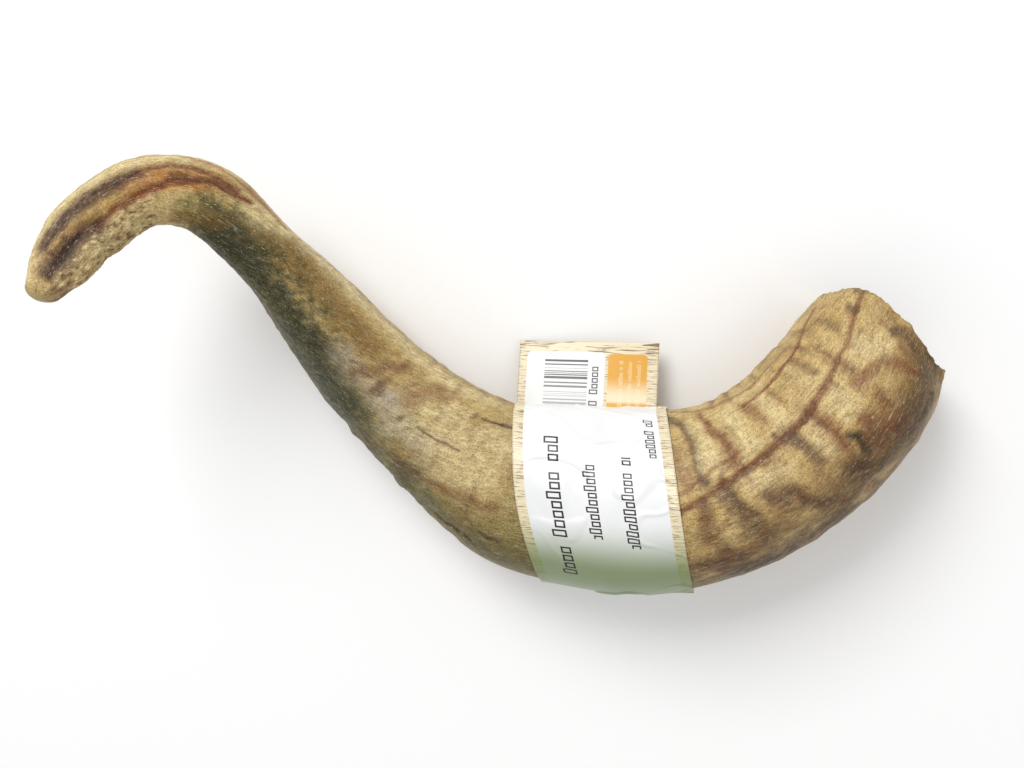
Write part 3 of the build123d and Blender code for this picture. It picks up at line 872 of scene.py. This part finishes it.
# ---------------------------------------------------------------- label materials
PAPER_WHITE = linear(236, 237, 236)
PAPER_SHADE = linear(214, 216, 220)
PAPER_BACK = linear(236, 234, 226)
WOOD_PALE = linear(232, 219, 186)
WOOD_DARK = linear(132, 102, 64)
PATCH = linear(222, 162, 48)
PATCH_PALE = linear(250, 238, 210)
PATCH_PRINT = linear(252, 236, 200)
INK = linear(38, 36, 38)
# A painted green reflection: green bounce light on the lower part of the band, laid into its colour.
PAINTED_GREEN_REFLECTION = linear(112, 132, 74)
GLUE_PALE = linear(226, 222, 200)
GLUE_DARK = linear(206, 200, 172)

# Where things are printed on the strip: w from, w to, v from, v to.
FLAG_PANEL = (-16.2, 4.6, -16.2, 6.0)
SLEEVE_PANEL = (-15.9, 15.9, -0.6, 150.0)
PATCH_PLACE = (5.4, 15.6, -15.8, 0.2)
BARS_PLACE = (-11.4, 0.1, -14.4, -0.4)
CORNER = 1.2  # radius of the corners of the panel and the patch
END_BORDER = -15.6  # beyond this v the wood grain runs along the end of the flag
# And lines of print, with the length of a letter and a seed.
DARK_LINES = [
    (0.7, 2.9, -13.0, -2.0, 1.5, 5),
    (-11.0, -7.6, 25.3, 64.4, 2.3, 7),
    (-2.4, 0.4, 34.0, 52.7, 1.7, 8),
    (5.8, 8.6, 32.3, 54.4, 1.7, 14),
    (12.4, 14.6, 19.6, 32.2, 1.4, 13),
]
FAINT_LINES = [
    (8.2, 9.3, -14.0, -1.0, 0.7, 1),
    (10.6, 11.6, -14.0, -1.0, 0.7, 2),
    (12.9, 13.9, -14.0, -1.0, 0.7, 3),
]
PEN = 0.13  # width of the pen, as a share of a line's height
EXTRA_HEIGHT = 0.28  # how much of a line's height only its tall letters reach
TALL_FROM = 0.72  # of the dice from 0 to 1
GAP_BELOW = 0.14
SIDE_GAP = 0.1  # gap at each side of a letter, as a share of its length
FIRST_LETTER = 200.0  # added to v, so that letters are counted from above 0
SEED_STEP = 31.0


class PrintShader(Shader):
    """A material of the label, which reads the strip's own coordinates."""

    def __init__(self, name):
        super().__init__(name)
        self.place = self.attribute("strip")
        split = self.node("SeparateXYZ")
        self.put(split.inputs[0], self.place)
        self.w, self.v = split.outputs[0], split.outputs[1]

    def box(self, w0, w1, v0, v1):
        """1 inside a rectangle of the strip, 0 outside it."""
        within_w = self.maths("COMPARE", self.w, (w0 + w1) / 2, (w1 - w0) / 2)
        within_v = self.maths("COMPARE", self.v, (v0 + v1) / 2, (v1 - v0) / 2)
        return self.maths("MULTIPLY", within_w, within_v)

    def rounded_box(self, w0, w1, v0, v1):
        """1 inside a rectangle with rounded corners, 0 outside it."""
        squares = []
        for at, low, high in ((self.w, w0, w1), (self.v, v0, v1)):
            from_middle = self.maths("ABSOLUTE", self.maths("SUBTRACT", at, (low + high) / 2))
            past_corner = self.maths("SUBTRACT", from_middle, (high - low) / 2 - CORNER)
            squares.append(self.maths("POWER", self.maths("MAXIMUM", past_corner, 0.0), 2.0))
        far = self.maths("SQRT", self.maths("ADD", *squares))
        return self.maths("LESS_THAN", far, CORNER)

    def line_of_words(self, w0, w1, v0, v1, letter, seed):
        """A line of small empty boxes in groups, standing in for a line of print."""
        height = w1 - w0
        along_line = self.maths("DIVIDE", self.maths("ADD", self.v, FIRST_LETTER), letter)
        dice = self.node("TexWhiteNoise", noise_dimensions="1D")
        number = self.maths("FLOOR", along_line)
        self.put(dice.inputs["W"], self.maths("ADD", number, seed * SEED_STEP))
        chance = dice.outputs["Value"]
        within = self.maths("MULTIPLY", self.maths("FRACT", along_line), letter)
        tall = self.maths("GREATER_THAN", chance, TALL_FROM)
        extra = self.maths("MULTIPLY", tall, EXTRA_HEIGHT * height)
        top = self.maths("SUBTRACT", w0 + EXTRA_HEIGHT * height, extra)

        def letter_box(inset):
            after = self.maths("GREATER_THAN", within, SIDE_GAP * letter + inset)
            before = self.maths("LESS_THAN", within, (1 - SIDE_GAP) * letter - inset)
            below = self.maths("GREATER_THAN", self.w, self.maths("ADD", top, inset))
            above = self.maths("LESS_THAN", self.w, w1 - inset)
            sides = self.maths("MULTIPLY", after, before)
            return self.maths("MULTIPLY", sides, self.maths("MULTIPLY", below, above))

        outline = self.maths("SUBTRACT", letter_box(0.0), letter_box(PEN * height))
        letters = self.maths("MULTIPLY", outline, self.maths("GREATER_THAN", chance, GAP_BELOW))
        return self.maths("MULTIPLY", letters, self.box(w0 - 0.1, w1 + 0.1, v0, v1))

    def words(self, lines):
        """Several lines of words as one mask."""
        mask = self.line_of_words(*lines[0])
        for line in lines[1:]:
            mask = self.maths("MAXIMUM", mask, self.line_of_words(*line))
        return mask

    def bars(self, w0, w1, v0, v1):
        """Irregular bars across the strip, which spell nothing."""
        wobble = self.node("TexNoise", noise_dimensions="1D")
        self.put(wobble.inputs["W"], self.v)
        wobble.inputs["Scale"].default_value = 1.35
        wobble.inputs["Detail"].default_value = 2.0
        lines = self.maths("GREATER_THAN", wobble.outputs["Fac"], 0.52)
        return self.maths("MULTIPLY", self.box(w0, w1, v0, v1), lines)

    def wood_grain(self):
        """The printed border: ticks down the sides, flowing lines along the flag's end."""
        ticks = self.noise(self.stretched(self.place, (0.22, 3.2, 1)), detail=4.0, roughness=0.7)
        flowing = self.noise(self.stretched(self.place, (0.12, 1.3, 1)), detail=3.0, distortion=0.9)
        wood = self.mix(self.maths("LESS_THAN", self.v, END_BORDER), ticks, flowing)
        return self.mix(self.between(wood, 0.5, 0.62), WOOD_PALE, WOOD_DARK)

    def orange_patch(self):
        """The patch, faded away from the crease with a darker strip along it and pale print."""
        fade = self.between(self.v, -10.0, -4.0, 1.0, 0.2)
        lower_strip = self.between(self.v, -3.6, -2.6, 0.0, 0.75)
        colour = self.mix(self.maths("ADD", fade, lower_strip, clamp=True), PATCH_PALE, PATCH)
        faint = self.maths("MULTIPLY", self.words(FAINT_LINES), 0.6)
        return self.mix(faint, colour, PATCH_PRINT)


def label_print():
    """White paper with a wood-grain border, an orange patch, a painted green reflection, bars and boxes."""
    shader = PrintShader("label_print")
    # Painted shade: soft grey patches that stand in for the shade of the paper's wrinkles.
    painted_wrinkle_shade = shader.noise(shader.stretched(shader.place, (0.08, 0.06, 1)), detail=2.0)
    white = shader.mix(shader.between(painted_wrinkle_shade, 0.35, 0.7, 0.0, 0.25), PAPER_WHITE, PAPER_SHADE)
    panel = shader.maths("MAXIMUM", shader.rounded_box(*FLAG_PANEL), shader.box(*SLEEVE_PANEL))
    printed = shader.mix(panel, shader.wood_grain(), white)
    printed = shader.mix(shader.rounded_box(*PATCH_PLACE), printed, shader.orange_patch())
    # Painted green reflection of bounce light over the lower part of the band.
    reflection_start = shader.between(shader.v, 47.0, 62.0, 0.0, 0.88)
    reflection_end = shader.between(shader.v, 84.0, 100.0, 1.0, 0.0)
    printed = shader.mix(shader.maths("MULTIPLY", reflection_start, reflection_end), printed, PAINTED_GREEN_REFLECTION)
    worn_ink = shader.between(shader.v, -12.0, 0.0, 0.95, 0.45)
    ink = shader.maths("MULTIPLY", shader.bars(*BARS_PLACE), worn_ink)
    ink = shader.maths("MAXIMUM", ink, shader.words(DARK_LINES))
    printed = shader.mix(ink, printed, INK)
    on_face = shader.maths("GREATER_THAN", shader.attribute("printed", "Fac"), 0.5)
    shader.finish("Base Color", shader.mix(on_face, PAPER_BACK, printed))
    fibre = shader.noise(shader.stretched(shader.place, (3.0, 3.0, 1)), detail=5.0)
    shader.finish("Roughness", shader.between(fibre, 0.3, 0.7, 0.28, 0.40))
    shader.finish("Normal", shader.bump(fibre, 0.15, 0.04))
    return shader.material


def label_glue_film():
    """A film of dried glue, uneven in colour and gloss."""
    shader = Shader("label_glue_film")
    lumps = shader.noise(shader.attribute("strip"), scale=1.5, detail=4.0)
    shader.finish("Base Color", shader.mix(lumps, GLUE_PALE, GLUE_DARK))
    shader.finish("Roughness", shader.between(lumps, 0.3, 0.7, 0.3, 0.5))
    return shader.material


paper_material = label_print()
for piece in (label_sleeve, flag_front, flag_back):
    piece.data.materials.append(paper_material)
glue.data.materials.append(label_glue_film())


# ---------------------------------------------------------------- floor, light and camera
def floor_paper():
    """Plain pale matt paper."""
    shader = Shader("floor_paper")
    shader.finish("Base Color", (0.97, 0.97, 0.97, 1))
    shader.finish("Roughness", 0.9)
    shader.finish("Specular IOR Level", 0.1)
    return shader.material


FLOOR_HALF = 2000.0
FLOOR_GAP = 0.0001  # metres under the lowest point
floor_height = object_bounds()[0][2] - FLOOR_GAP
floor_corners = np.array([(-1, -1, 0), (1, -1, 0), (1, 1, 0), (-1, 1, 0)]) * FLOOR_HALF
floor = new_mesh("floor", floor_corners, [(0, 1, 2, 3)])
floor.location.z = floor_height
floor.data.materials.append(floor_paper())

world = bpy.data.worlds.new("studio")
world.use_nodes = True
backdrop = world.node_tree.nodes["Background"]
backdrop.inputs["Color"].default_value = (1, 1, 1, 1)
backdrop.inputs["Strength"].default_value = 0.58
bpy.context.scene.world = world


def area_light(name, position, size, power):
    """A soft square lamp that points at the horn."""
    light = bpy.data.lights.new(name, "AREA")
    light.size = size
    light.energy = power
    lamp = bpy.data.objects.new(name, light)
    lamp.location = position
    towards = Vector((0, 0, 0.02)) - Vector(position)
    lamp.rotation_euler = towards.to_track_quat("-Z", "Y").to_euler()
    bpy.context.scene.collection.objects.link(lamp)


area_light("key", position=(-0.35, 0.75, 0.9), size=0.6, power=9.0)
area_light("fill", position=(0.7, -0.3, 0.9), size=0.8, power=1.6)

EYE = np.array((35.3, 35.1, 284.9)) + TO_ORIGIN
LOOK = Vector((-0.135, -0.139, -0.981)).normalized()
UP_HINT = Vector((-0.019, 0.990, -0.138))
right = LOOK.cross(UP_HINT).normalized()
up = right.cross(LOOK)
camera_data = bpy.data.cameras.new("camera")
camera_data.sensor_width = 36.0
camera_data.lens = 37.97
camera_data.clip_start = 0.01
camera = bpy.data.objects.new("camera", camera_data)
axes = Matrix((right, up, -LOOK)).transposed().to_4x4()
camera.matrix_world = Matrix.Translation(Vector(EYE * MM)) @ axes
bpy.context.scene.collection.objects.link(camera)
bpy.context.scene.camera = camera
bpy.context.scene.view_settings.view_transform = "Standard"
